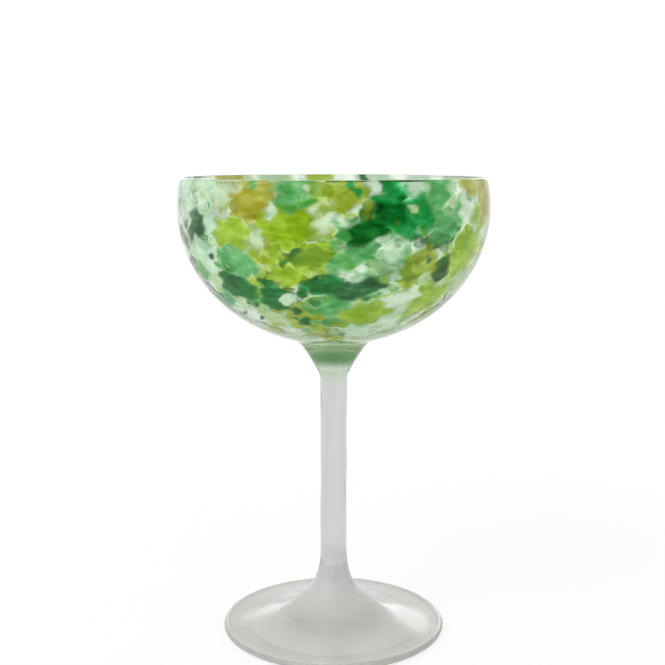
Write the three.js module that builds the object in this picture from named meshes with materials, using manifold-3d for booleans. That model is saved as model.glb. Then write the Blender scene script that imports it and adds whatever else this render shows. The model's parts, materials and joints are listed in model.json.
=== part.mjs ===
// A champagne coupe in spatter glass: a blown bowl with chips of coloured glass melted into the outside
// of its wall, on a clear drawn stem and a clear foot.
// Millimetres, +Z up. The origin is the middle of the face that the foot rests on, and bearing 0 is -Y.
import * as THREE from "three";
import { mergeVertices } from "three/addons/utils/BufferGeometryUtils.js";
import Module from "manifold-3d";

// Foot: a disc that stands on a flat ring near its edge and rises to a hub in the middle
const FOOT_RADIUS = 36.8;
const FOOT_EDGE = 2.4;
const FOOT_HEIGHT = 12;
const REST_RING_WIDTH = 8;
const KICK_HEIGHT = 2.6;
const HUB_RADIUS = 9;

// Stem: a straight rod that flares into the hub below and into the bowl's funnel above
const STEM_RADIUS = 4.4;
const STEM_LENGTH = 76;
const STEM_FLARE = 15;
const NECK_FLARE = 4;

// Bowl: a half ellipse carried a little past its widest circle, with a short solid funnel under it
const BOWL_RADIUS = 50;
const BOWL_DROP = 44;
const RIM_RISE = 10;
const SEAT_RADIUS = 5.6;
const FUNNEL_DROP = 8;
const FUNNEL_RADIUS = 13;
const FUNNEL_SLOPE = 0.6;
const BOWL_FLOOR = 3.6;

// Wall: chips of coloured glass let into a clear layer, each in a pocket with a gap all round it
const CLEAR_LAYER = 1.0;
const CHIP_THICKNESS = 0.6;
const CHIP_GAP = 0.3;
const CHIP_WOBBLE = 0.1;
const WALL = CLEAR_LAYER + CHIP_GAP + CHIP_THICKNESS;

// Facets
const TURN_STEPS = 48;
const CURVE_STEPS = 4;
const WALL_STEPS = 10;
const CHIP_SIDES = 8;

// Colours of the glass, as seen through the wall
const CHIP_COLOURS = {
  emerald: 0x0f8236,
  lime: 0x8fae1e,
  forest: 0x05591c,
  ochre: 0xa9a03a,
  leaf: 0x4b9a55,
  olive: 0x8c9a22,
  bottle: 0x1f4f2b,
  mint: 0xa8d2b4,
  pale: 0xd5e0dd,
  sage: 0x96b580,
};
const CLEAR_GLASS = 0xe2e6e2;
const GLASS_ROUGHNESS = 0.06;

// The near half of the bowl, chip by chip, on its unrolled wall: the bearing of the chip's middle and
// half its width in degrees, the middle's place and half its length in percent of the way up the wall
// from the seat to the lip, and how many degrees its top end leans round. The far half repeats the chips
// that have a far colour, turned round and spread wider.
const FAR_SPREAD = 1.4;
const NEAR_CHIPS = [
  { glass: "mint", far: "pale", bearing: -51, halfTurn: 4.5, up: 94.5, halfUp: 3, lean: 0 },
  { glass: "bottle", far: "mint", bearing: -56, halfTurn: 4.5, up: 83.5, halfUp: 4.5, lean: 2 },
  { glass: "ochre", far: "mint", bearing: -28, halfTurn: 6, up: 92.5, halfUp: 5, lean: 2 },
  { glass: "leaf", far: "mint", bearing: -13, halfTurn: 5, up: 94.5, halfUp: 3, lean: 1 },
  { glass: "olive", far: "lime", bearing: 4, halfTurn: 4, up: 94.5, halfUp: 3, lean: 2 },
  { glass: "emerald", far: "sage", bearing: 18, halfTurn: 4.5, up: 94, halfUp: 3.5, lean: 2 },
  { glass: "leaf", bearing: 37.5, halfTurn: 4, up: 94.5, halfUp: 3, lean: 1 },
  { glass: "ochre", far: "mint", bearing: 69, halfTurn: 8, up: 90, halfUp: 6, lean: 0 },
  { glass: "lime", far: "mint", bearing: -36.5, halfTurn: 6, up: 82.5, halfUp: 3.5, lean: 2 },
  { glass: "lime", far: "forest", bearing: -16, halfTurn: 7, up: 84, halfUp: 5, lean: 2 },
  { glass: "pale", bearing: -3, halfTurn: 3, up: 87, halfUp: 3, lean: 2 },
  { glass: "forest", far: "lime", bearing: 11, halfTurn: 6, up: 83.5, halfUp: 5, lean: 3 },
  { glass: "emerald", far: "ochre", bearing: 28, halfTurn: 6, up: 87, halfUp: 5, lean: 2 },
  { glass: "leaf", far: "pale", bearing: 41, halfTurn: 4.5, up: 84, halfUp: 4.5, lean: 2 },
  { glass: "mint", far: "lime", bearing: -53, halfTurn: 5.5, up: 72.5, halfUp: 5.5, lean: -3 },
  { glass: "leaf", far: "bottle", bearing: -36, halfTurn: 6.5, up: 71.5, halfUp: 4, lean: 0 },
  { glass: "forest", bearing: -41, halfTurn: 6.5, up: 61, halfUp: 4, lean: 0 },
  { glass: "lime", far: "leaf", bearing: -7, halfTurn: 5, up: 74, halfUp: 4.5, lean: 3 },
  { glass: "leaf", far: "lime", bearing: 6, halfTurn: 5, up: 74, halfUp: 3, lean: 4 },
  { glass: "pale", bearing: 21, halfTurn: 4, up: 76.5, halfUp: 3.5, lean: 2 },
  { glass: "olive", far: "mint", bearing: 31.5, halfTurn: 6, up: 69, halfUp: 5, lean: 2 },
  { glass: "bottle", bearing: 42, halfTurn: 3, up: 67.5, halfUp: 4, lean: 1 },
  { glass: "lime", far: "emerald", bearing: 55, halfTurn: 7.5, up: 74.5, halfUp: 6.5, lean: 2 },
  { glass: "forest", far: "leaf", bearing: -23.5, halfTurn: 5.5, up: 56, halfUp: 5, lean: 2 },
  { glass: "forest", bearing: -5, halfTurn: 5, up: 64.5, halfUp: 3, lean: 2 },
  { glass: "bottle", far: "forest", bearing: 9, halfTurn: 7.5, up: 61.5, halfUp: 3, lean: 4 },
  { glass: "leaf", bearing: -1, halfTurn: 4.5, up: 53.5, halfUp: 3, lean: 1 },
  { glass: "pale", bearing: 29, halfTurn: 6, up: 56, halfUp: 3.5, lean: 3 },
  { glass: "lime", bearing: 45, halfTurn: 6.5, up: 54.5, halfUp: 4, lean: 2 },
  { glass: "sage", bearing: 67, halfTurn: 10, up: 59.5, halfUp: 5, lean: 0 },
  { glass: "olive", far: "leaf", bearing: -14.5, halfTurn: 6, up: 47.5, halfUp: 4.5, lean: 2 },
  { glass: "lime", bearing: 14.5, halfTurn: 9, up: 48.5, halfUp: 4.5, lean: 3 },
  { glass: "sage", far: "sage", bearing: -38, halfTurn: 30, up: 21, halfUp: 12, lean: 6 },
  { glass: "sage", far: "sage", bearing: 38, halfTurn: 30, up: 20, halfUp: 12, lean: -6 },
];

const wasm = await Module();
wasm.setup();

const seatHeight = FOOT_HEIGHT + STEM_LENGTH;
const bowlMiddle = seatHeight + FUNNEL_DROP + BOWL_DROP;
const lipRadius = WALL / 2;
const lipHeight = bowlMiddle + RIM_RISE - lipRadius;

/** Turns a closed profile of (radius, height) points about +Z. */
function turned(points) {
  return new THREE.LatheGeometry(points, TURN_STEPS).rotateX(Math.PI / 2);
}

/** The angle at which an ellipse of the given half height has risen this far above its middle. */
function angleAtRise(rise, halfHeight) {
  return Math.asin(rise / halfHeight);
}

/** The bowl's outer wall from the seat to the lip, as one curve of (radius, height). */
function outerWall() {
  const start = -Math.acos(FUNNEL_RADIUS / BOWL_RADIUS);
  const shell = new THREE.EllipseCurve(
    0, bowlMiddle, BOWL_RADIUS, BOWL_DROP, start, angleAtRise(lipHeight - bowlMiddle, BOWL_DROP));
  const seat = new THREE.Vector2(SEAT_RADIUS, seatHeight);
  const top = shell.getPoint(0);
  const shellSlope = (BOWL_DROP / BOWL_RADIUS) * (FUNNEL_RADIUS / BOWL_RADIUS) / -Math.sin(start);

  // The funnel leaves the seat at its own slope and runs into the shell along the shell's tangent.
  const meetHeight = (top.y - seat.y - shellSlope * (top.x - seat.x)) / (1 - shellSlope * FUNNEL_SLOPE);
  const meet = new THREE.Vector2(seat.x + FUNNEL_SLOPE * meetHeight, seat.y + meetHeight);
  const wall = new THREE.CurvePath();
  wall.add(new THREE.QuadraticBezierCurve(seat, meet, top));
  wall.add(shell);
  return wall;
}

/** The bowl's inner wall from the lip down to the axis. */
function innerWall() {
  const depth = BOWL_DROP - BOWL_FLOOR;
  const end = angleAtRise(lipHeight - bowlMiddle, depth);
  return new THREE.EllipseCurve(0, bowlMiddle, BOWL_RADIUS - WALL, depth, end, -Math.PI / 2, true);
}

const wall = outerWall();

/** The bowl without its pockets: funnel, shell, rounded lip and the hollow inside. */
function bowlBlank() {
  const [funnel, shell] = wall.curves;
  const inner = innerWall();
  const outerLip = shell.getPoint(1);
  const innerLip = inner.getPoint(0);
  const lip = new THREE.EllipseCurve(
    (outerLip.x + innerLip.x) / 2, lipHeight, (outerLip.x - innerLip.x) / 2, lipRadius, 0, Math.PI);
  return turned([
    new THREE.Vector2(0, seatHeight),
    ...funnel.getSpacedPoints(CURVE_STEPS),
    ...shell.getSpacedPoints(WALL_STEPS).slice(1),
    ...lip.getPoints(CURVE_STEPS).slice(1, -1),
    ...inner.getSpacedPoints(WALL_STEPS).slice(0, -1),
    new THREE.Vector2(0, bowlMiddle - BOWL_DROP + BOWL_FLOOR),
  ]);
}

/** The point of the outer wall at a bearing and a share of the way up, moved out along its normal. */
function wallPoint(bearing, share, out) {
  const at = wall.getPoint(share);
  const along = wall.getTangent(share);
  const radius = at.x + out * along.y;
  const height = at.y - out * along.x;
  return new THREE.Vector3(radius * Math.sin(bearing), -radius * Math.cos(bearing), height);
}

/** One chip's outline at a share of its full size, spread by a margin in millimetres. */
function chipOutline(chip, phase, size, spread) {
  const share = chip.up / 100;
  const wide = THREE.MathUtils.degToRad(chip.halfTurn) * wall.getPoint(share).x;
  const long = (chip.halfUp / 100) * wall.getLength();
  return Array.from({ length: CHIP_SIDES }, (_, side) => {
    const angle = (2 * Math.PI * side) / CHIP_SIDES;
    const wobble = 1 + CHIP_WOBBLE * (Math.sin(2 * angle + phase) + Math.sin(3 * angle + 2 * phase)) / 2;
    const reach = Math.hypot(wide * Math.cos(angle), long * Math.sin(angle)) * wobble;
    const grown = size * wobble * (1 + spread / reach);
    const up = grown * Math.sin(angle);
    const turn = chip.bearing + chip.halfTurn * grown * Math.cos(angle) + chip.lean * up;
    return [THREE.MathUtils.degToRad(turn), share + (chip.halfUp / 100) * up];
  });
}

/** A plate that follows the wall between two depths, inside one chip's outline. */
function wallPlate(chip, phase, spread, outside, inside) {
  const middle = [[THREE.MathUtils.degToRad(chip.bearing), chip.up / 100]];
  const half = chipOutline(chip, phase, 0.5, spread);
  const full = chipOutline(chip, phase, 1, spread);
  const places = [...middle, ...half, ...full];
  const layer = (out) => places.map(([turn, share]) => wallPoint(turn, share, out));
  const points = [...layer(outside), ...layer(inside)];
  const under = places.length;
  const faces = [];
  for (let side = 0; side < CHIP_SIDES; side++) {
    const next = (side + 1) % CHIP_SIDES;
    const [a, b] = [1 + side, 1 + next];
    const [c, d] = [a + CHIP_SIDES, b + CHIP_SIDES];
    const top = [[0, a, b], [a, c, d], [a, d, b]];
    const bottom = top.map(([p, q, r]) => [p + under, r + under, q + under]);
    const edge = [[c, c + under, d + under], [c, d + under, d]];
    faces.push(...top, ...bottom, ...edge);
  }
  const plate = new THREE.BufferGeometry().setFromPoints(points);
  plate.setIndex(faces.flat());
  return plate;
}

/** A closed geometry as a solid that can be cut. */
function solidOf(geometry) {
  const bare = geometry.clone();
  bare.deleteAttribute("normal");
  bare.deleteAttribute("uv");
  const merged = mergeVertices(bare);
  return new wasm.Manifold(new wasm.Mesh({
    numProp: 3,
    vertProperties: new Float32Array(merged.attributes.position.array),
    triVerts: new Uint32Array(merged.index.array),
  }));
}

/** A cut solid as a geometry again. */
function geometryOf(solid) {
  const mesh = solid.getMesh();
  const geometry = new THREE.BufferGeometry();
  geometry.setAttribute("position", new THREE.BufferAttribute(mesh.vertProperties, mesh.numProp));
  geometry.setIndex(new THREE.BufferAttribute(mesh.triVerts, 1));
  return geometry;
}

/** All chips of both halves, named by colour. */
function allChips() {
  const far = NEAR_CHIPS.filter((chip) => chip.far).map((chip) => ({
    ...chip,
    glass: chip.far,
    bearing: 180 + FAR_SPREAD * chip.bearing,
    halfTurn: FAR_SPREAD * chip.halfTurn,
  }));
  const made = {};
  return [...NEAR_CHIPS, ...far].map((chip) => {
    made[chip.glass] = (made[chip.glass] ?? 0) + 1;
    return { ...chip, name: `${chip.glass}_chip_${made[chip.glass]}` };
  });
}

/** The foot's closed profile, from under its middle out round the edge and up to the hub. */
function footProfile() {
  const round = FOOT_EDGE / 2;
  const flatEnd = FOOT_RADIUS - round;
  const flatStart = flatEnd - REST_RING_WIDTH;
  const profile = new THREE.Path();
  profile.moveTo(0, KICK_HEIGHT);
  profile.quadraticCurveTo(flatStart / 2, KICK_HEIGHT, flatStart, 0);
  profile.lineTo(flatEnd, 0);
  profile.absarc(flatEnd, round, round, -Math.PI / 2, Math.PI / 2);
  const rise = (FOOT_HEIGHT - FOOT_EDGE) / 2;
  const slope = (flatEnd - HUB_RADIUS) / 2;
  profile.bezierCurveTo(
    flatEnd - slope, FOOT_EDGE + rise / 4, HUB_RADIUS + rise, FOOT_HEIGHT - rise, HUB_RADIUS, FOOT_HEIGHT);
  profile.lineTo(0, FOOT_HEIGHT);
  return profile;
}

/** The stem's closed profile: it takes the hub's radius at its foot and the seat's at its top. */
function stemProfile() {
  const flare = HUB_RADIUS - STEM_RADIUS;
  const profile = new THREE.Path();
  profile.moveTo(0, FOOT_HEIGHT);
  profile.lineTo(HUB_RADIUS, FOOT_HEIGHT);
  profile.quadraticCurveTo(STEM_RADIUS, FOOT_HEIGHT + flare, STEM_RADIUS, FOOT_HEIGHT + STEM_FLARE);
  profile.lineTo(STEM_RADIUS, seatHeight - NECK_FLARE);
  profile.quadraticCurveTo(
    STEM_RADIUS, seatHeight - (SEAT_RADIUS - STEM_RADIUS) / FUNNEL_SLOPE, SEAT_RADIUS, seatHeight);
  profile.lineTo(0, seatHeight);
  return profile;
}

/** A named piece of glass. */
function piece(name, geometry, colour) {
  const glass = new THREE.MeshStandardMaterial({ color: colour, roughness: GLASS_ROUGHNESS, metalness: 0 });
  geometry.computeVertexNormals();
  const mesh = new THREE.Mesh(geometry, glass);
  mesh.name = name;
  return mesh;
}

const bowl = new THREE.Group();
let cutBowl = solidOf(bowlBlank());
allChips().forEach((chip, order) => {
  const pocketFloor = -(CHIP_THICKNESS + CHIP_GAP);
  const pocket = wallPlate(chip, order, CHIP_GAP, WALL, pocketFloor);
  cutBowl = cutBowl.subtract(solidOf(pocket));
  const plate = wallPlate(chip, order, 0, 0, -CHIP_THICKNESS);
  bowl.add(piece(chip.name, plate, CHIP_COLOURS[chip.glass]));
});
bowl.add(piece("bowl", geometryOf(cutBowl), CLEAR_GLASS));

const coupe = new THREE.Group();
coupe.add(piece("foot", turned(footProfile().getPoints(CURVE_STEPS)), CLEAR_GLASS));
coupe.add(piece("stem", turned(stemProfile().getPoints(CURVE_STEPS)), CLEAR_GLASS));
coupe.add(bowl);

export default coupe;
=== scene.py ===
"""A champagne coupe in spatter glass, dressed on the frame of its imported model.

The pieces are the blown bowl with its melted chips of coloured glass, the drawn stem and the foot.
Metres, +Z up, in the frame's own axes. Bearing 0 is -Y, the side that faces the camera.
"""

import json
import logging
import math
from abc import ABC, abstractmethod
from collections.abc import Sequence
from dataclasses import dataclass
from enum import Enum, IntEnum
from functools import cached_property
from typing import Any, Union

import bpy
import numpy as np
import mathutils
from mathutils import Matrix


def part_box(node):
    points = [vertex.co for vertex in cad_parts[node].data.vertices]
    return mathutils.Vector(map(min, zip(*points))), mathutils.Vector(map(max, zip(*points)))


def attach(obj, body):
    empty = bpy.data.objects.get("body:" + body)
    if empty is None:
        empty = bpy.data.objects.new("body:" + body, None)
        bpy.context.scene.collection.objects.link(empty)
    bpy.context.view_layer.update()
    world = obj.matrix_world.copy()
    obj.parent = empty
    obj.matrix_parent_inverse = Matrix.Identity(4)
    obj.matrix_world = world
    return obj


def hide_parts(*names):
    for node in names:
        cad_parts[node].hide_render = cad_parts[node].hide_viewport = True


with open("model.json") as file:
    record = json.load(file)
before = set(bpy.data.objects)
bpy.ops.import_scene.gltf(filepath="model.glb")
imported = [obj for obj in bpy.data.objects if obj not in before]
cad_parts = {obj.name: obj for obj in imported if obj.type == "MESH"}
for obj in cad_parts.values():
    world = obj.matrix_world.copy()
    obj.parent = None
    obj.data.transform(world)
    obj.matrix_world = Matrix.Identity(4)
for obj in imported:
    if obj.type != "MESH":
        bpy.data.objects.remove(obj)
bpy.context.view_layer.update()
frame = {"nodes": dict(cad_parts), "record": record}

log = logging.getLogger("coupe")

Colour = tuple[float, float, float]
Vector = tuple[float, float, float]
Span = tuple[float, float]
Operand = Union["Wire", float]

MM = 0.001
WHITE = (1.0, 1.0, 1.0)
MEAN_NOISE = 0.5
BODY = "root"
CLEAR_SLOT = "clear_glass"
CHIP_MARK = "_chip_"
DEPTH_LAYER = "chip_depth"
COLOUR_LAYER = "chip_colour"
FUSED_ANGLE = math.radians(35)


class Skin(IntEnum):
    """The surfaces of a piece of glass, in the order of its material slots."""

    OUTSIDE = 0
    INSIDE = 1
    JOINT = 2


class Ray(Enum):
    """The kinds of ray that are told apart, as a Light Path node names them."""

    CAMERA = "Is Camera Ray"
    GLOSSY = "Is Glossy Ray"
    TRANSMISSION = "Is Transmission Ray"


class Blend(Enum):
    """The ways that one colour is laid over another."""

    MIX = "MIX"
    MULTIPLY = "MULTIPLY"


class MixSocket(IntEnum):
    """The places of a Mix node's colour sockets, whose names its other sockets share."""

    SHARE = 0
    FIRST = 6
    SECOND = 7
    RESULT = 2


class Wire:
    """An output socket, on which Python's operators add Math nodes."""

    def __init__(self, graph: "Graph", socket: bpy.types.NodeSocket) -> None:
        """Keeps the socket and the graph that new nodes go into."""
        self.graph = graph
        self.socket = socket

    def other(self, name: str) -> "Wire":
        """Another output of the same node."""
        return Wire(self.graph, self.socket.node.outputs[name])

    def _math(self, operation: str, *terms: Operand) -> "Wire":
        """One Math node on these terms."""
        return self.graph.add("ShaderNodeMath", {"operation": operation}, dict(enumerate(terms)))

    def __add__(self, other: Operand) -> "Wire":
        """This wire plus another term."""
        return self._math("ADD", self, other)

    def __radd__(self, other: Operand) -> "Wire":
        """Another term plus this wire."""
        return self._math("ADD", other, self)

    def __sub__(self, other: Operand) -> "Wire":
        """This wire less another term."""
        return self._math("SUBTRACT", self, other)

    def __rsub__(self, other: Operand) -> "Wire":
        """Another term less this wire."""
        return self._math("SUBTRACT", other, self)

    def __mul__(self, other: Operand) -> "Wire":
        """This wire times another term."""
        return self._math("MULTIPLY", self, other)

    def __rmul__(self, other: Operand) -> "Wire":
        """Another term times this wire."""
        return self._math("MULTIPLY", other, self)

    def __or__(self, other: Operand) -> "Wire":
        """The larger of this wire and another term."""
        return self._math("MAXIMUM", self, other)

    def __ror__(self, other: Operand) -> "Wire":
        """The larger of another term and this wire."""
        return self._math("MAXIMUM", other, self)


class Graph:
    """A node tree that is filled by node type, settings and sockets."""

    def __init__(self, tree: bpy.types.NodeTree) -> None:
        """Starts from an emptied tree."""
        tree.nodes.clear()
        self.tree = tree

    def add(
        self,
        kind: str,
        settings: dict[str, Any] | None = None,
        sockets: dict[int | str, Any] | None = None,
        output: int | str = 0,
    ) -> Wire:
        """Adds one node.

        Args:
            kind: The node's type.
            settings: Its properties, which are set first. "stops" holds a ramp's (place, colour) pairs.
            sockets: Values or wires for its inputs, by name or place.
            output: The output that the returned wire stands for.

        Returns:
            A wire from that output, or from none where the node has no output.
        """
        node = self.tree.nodes.new(kind)
        for name, value in (settings or {}).items():
            if name == "stops":
                fill_ramp(node.color_ramp, value)
            else:
                setattr(node, name, value)
        for name, value in (sockets or {}).items():
            if isinstance(value, Wire):
                self.tree.links.new(value.socket, node.inputs[name])
            else:
                node.inputs[name].default_value = value
        return Wire(self, node.outputs[output] if node.outputs else None)

    def place(self) -> Wire:
        """Where a point of the surface is, in the frame's metres."""
        return self.add("ShaderNodeTexCoord", output="Object")

    def coordinate(self, where: Wire, axis: str) -> Wire:
        """One coordinate of a place or of a direction."""
        return self.add("ShaderNodeSeparateXYZ", {}, {"Vector": where}).other(axis)

    def length(self, where: Wire) -> Wire:
        """How far a place is from the origin."""
        return self.add("ShaderNodeVectorMath", {"operation": "LENGTH"}, {0: where}, output="Value")

    def stretch(self, where: Wire, waves: Vector) -> Wire:
        """Coordinates in waves per metre along each axis."""
        return self.add("ShaderNodeVectorMath", {"operation": "MULTIPLY"}, {0: where, 1: waves})

    def layer(self, name: str, output: str) -> Wire:
        """A value or colour that the mesh carries."""
        return self.add("ShaderNodeAttribute", {"attribute_name": name}, output=output)

    def noise(self, where: Wire, scale: float, detail: float = 2.0) -> Wire:
        """Smooth noise about one half, with this many waves per unit."""
        return self.add("ShaderNodeTexNoise", {}, {"Vector": where, "Scale": scale, "Detail": detail})

    def rise(self, value: Wire, low: float, high: float) -> Wire:
        """A smooth step from 0 at low to 1 at high."""
        return self.add(
            "ShaderNodeMapRange",
            {"interpolation_type": "SMOOTHSTEP"},
            {"Value": value, "From Min": low, "From Max": high},
        )

    def blend(self, share: Operand, first: Any, second: Any, way: Blend = Blend.MIX) -> Wire:
        """Two colours mixed by a share.

        Args:
            share: How much of the second colour shows.
            first: A colour or a wire.
            second: A colour or a wire.
            way: How the second is laid over the first.

        Returns:
            The mixed colour.
        """
        return self.add(
            "ShaderNodeMix",
            {"data_type": "RGBA", "blend_type": way.value},
            {MixSocket.SHARE: share, MixSocket.FIRST: opaque(first), MixSocket.SECOND: opaque(second)},
            output=MixSocket.RESULT,
        )

    def thinned(self, colour: Wire, thickness: Wire) -> Wire:
        """The colour that a layer of glass shows at a share of its full thickness."""
        return self.add("ShaderNodeGamma", {}, {"Color": colour, "Gamma": thickness})

    def bump(self, height: Wire, distance: float) -> Wire:
        """A normal tilted by a height of 0 to 1 over this many metres."""
        return self.add("ShaderNodeBump", {}, {"Height": height, "Distance": distance})

    def glass(self, **sockets: Any) -> Wire:
        """A Principled shader, its sockets named with underscores for spaces."""
        named = {name.replace("_", " "): value for name, value in sockets.items()}
        return self.add("ShaderNodeBsdfPrincipled", {}, named)

    def white_light(self, kind: str, strength: float) -> Wire:
        """White light of this strength, from a lit surface or from the world."""
        return self.add(kind, {}, {"Color": opaque(WHITE), "Strength": strength})

    def mix_shaders(self, share: Operand, first: Wire, second: Wire) -> Wire:
        """Two shaders mixed by a share of the second."""
        return self.add("ShaderNodeMixShader", {}, {0: share, 1: first, 2: second})

    def end(self, kind: str, surface: Wire) -> None:
        """Wires a shader to the tree's output node."""
        self.add(kind, {}, {"Surface": surface})


def fill_ramp(ramp: bpy.types.ColorRamp, stops: Sequence[tuple[float, Colour]]) -> None:
    """Sets a ramp's stops.

    Args:
        ramp: The ramp, with its two first stops.
        stops: Places from 0 to 1 in rising order, each with its colour.
    """
    ramp.interpolation = "CONSTANT"
    while len(ramp.elements) < len(stops):
        ramp.elements.new(1.0)
    for element, (place, colour) in zip(ramp.elements, stops):
        element.position = place
        element.color = opaque(colour)


def opaque(colour: Any) -> Any:
    """A colour with full alpha; a wire stays as it is."""
    return colour if isinstance(colour, Wire) else (*colour[:3], 1.0)


def slot_colours() -> dict[str, Colour]:
    """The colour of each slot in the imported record."""
    return {m["slot"]: tuple(m["base_color"][:3]) for m in frame["record"]["materials"]}


def chip_nodes() -> list[str]:
    """The names of the CAD's chips, in order."""
    return sorted(name for name in frame["nodes"] if CHIP_MARK in name)


@dataclass(frozen=True)
class Finish(ABC):
    """A finish, from which a material is made.

    Attributes:
        name: The material's name.
    """

    name: str

    @abstractmethod
    def surface(self, graph: Graph) -> Wire:
        """The finish's shader in a graph."""

    def material(self) -> bpy.types.Material:
        """The finish as a material.

        Returns:
            A new material.
        """
        material = bpy.data.materials.new(self.name)
        material.use_nodes = True
        graph = Graph(material.node_tree)
        graph.end("ShaderNodeOutputMaterial", self.surface(graph))
        return material


@dataclass(frozen=True)
class ClearGlass(Finish):
    """Clear hand-worked glass: a tint, faint on the bowl and a grey of painted shade on the stem and foot,
    slow ripples and soft smudges.

    Attributes:
        tint_and_shade: The glass's colour, crossed once; where it is grey, as on the stem and the foot, it
            is painted shade standing in for darker surroundings seen through the glass.
        drawn: The colour along a draw line, which carries the same painted shade where the tint does.
        waves: Ripples per metre along X, Y and Z.
        lined: The values of the ripples between which a draw line comes in.
        ripple: The height of a ripple, in metres.
        polish: The roughness of clean glass.
        smudge: The roughness that a smudge adds.
        smudge_scale: Smudges per metre.
        smudged: The values of the noise between which a smudge comes in.
        ior: How strongly the glass bends light.
    """

    tint_and_shade: Colour
    drawn: Colour
    waves: Vector
    lined: Span = (0.4, 0.75)
    ripple: float = 0.06 * MM
    polish: float = 0.015
    smudge: float = 0.06
    smudge_scale: float = 70.0
    smudged: Span = (0.45, 0.85)
    ior: float = 1.3

    def surface(self, graph: Graph, stain: Any = WHITE, body: float = 1.0) -> Wire:
        """The glass's shader in a graph.

        Args:
            graph: The graph that the nodes go into.
            stain: The colour of a layer on the glass.
            body: How much of the light passes the glass unscattered.

        Returns:
            The shader.
        """
        where = graph.place()
        lines = graph.noise(graph.stretch(where, self.waves), scale=1.0, detail=3.0)
        smudges = graph.rise(graph.noise(where, self.smudge_scale, detail=4.0), *self.smudged)
        # A grey tint is painted shade: it stands in for darker surroundings seen through the glass.
        tint_and_shade = graph.blend(graph.rise(lines, *self.lined), self.tint_and_shade, self.drawn)
        return graph.glass(
            Base_Color=graph.blend(1.0, tint_and_shade, stain, Blend.MULTIPLY),
            Roughness=self.polish + smudges * self.smudge,
            Transmission_Weight=body,
            IOR=self.ior,
            Normal=graph.bump(lines, self.ripple),
        )


@dataclass(frozen=True)
class StemGlass(Finish):
    """The stem's clear glass, stained at its top by the bowl, and painted paler and made cloudy in the
    flare at its foot: painted light over a dark band that refraction leaves there.

    Attributes:
        clear: The glass between the two ends.
        stain: The stain's colour at the top.
        stained: The heights between which the stain comes in.
        pale: How much paler the flare is painted: painted light over the dark band that refraction leaves
            there.
        flared: The heights between which it grows paler, from the top.
        body: How much of the light passes the flare unscattered.
    """

    clear: ClearGlass
    stain: Colour
    stained: Span
    pale: Colour
    flared: Span
    body: float

    def surface(self, graph: Graph) -> Wire:
        """The glass's shader in a graph.

        Args:
            graph: The graph that the nodes go into.

        Returns:
            The shader.
        """
        height = graph.coordinate(graph.place(), "Z")
        # The flare is painted paler and made cloudy: painted light over a dark band that refraction leaves
        # there.
        flare = graph.rise(height, *self.flared)
        stain = graph.blend(graph.rise(height, *self.stained), WHITE, self.stain)
        stain = graph.blend(flare, stain, self.pale)
        clear = self.clear.surface(graph, stain)
        cloudy = self.clear.surface(graph, stain, self.body)
        return graph.mix_shaders(flare, clear, cloudy)


@dataclass(frozen=True)
class FootGlass(Finish):
    """The foot's glass, a little cloudy, and cloudier at its edge and at its hub, where that lightens dark
    lines that refraction leaves: painted light.

    Attributes:
        clear: The glass.
        body: How much of the light passes the glass unscattered.
        lightening_body: The same at the edge and the hub, lower so that the glass there lightens dark
            lines that refraction leaves: painted light.
        edge: The radii between which the worn edge comes in.
        hub: The radii between which the hub comes in, from the outside.
    """

    clear: ClearGlass
    body: float
    lightening_body: float
    edge: Span
    hub: Span

    def surface(self, graph: Graph) -> Wire:
        """The glass's shader in a graph.

        Args:
            graph: The graph that the nodes go into.

        Returns:
            The shader.
        """
        radius = graph.length(graph.stretch(graph.place(), (1.0, 1.0, 0.0)))
        # The edge and the hub are made milkier, which lightens dark lines that refraction leaves there:
        # painted light.
        cloudy = graph.rise(radius, *self.edge) | graph.rise(radius, *self.hub)
        middle = self.clear.surface(graph, body=self.body)
        lightening_body = self.clear.surface(graph, body=self.lightening_body)
        return graph.mix_shaders(cloudy, middle, lightening_body)


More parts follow.
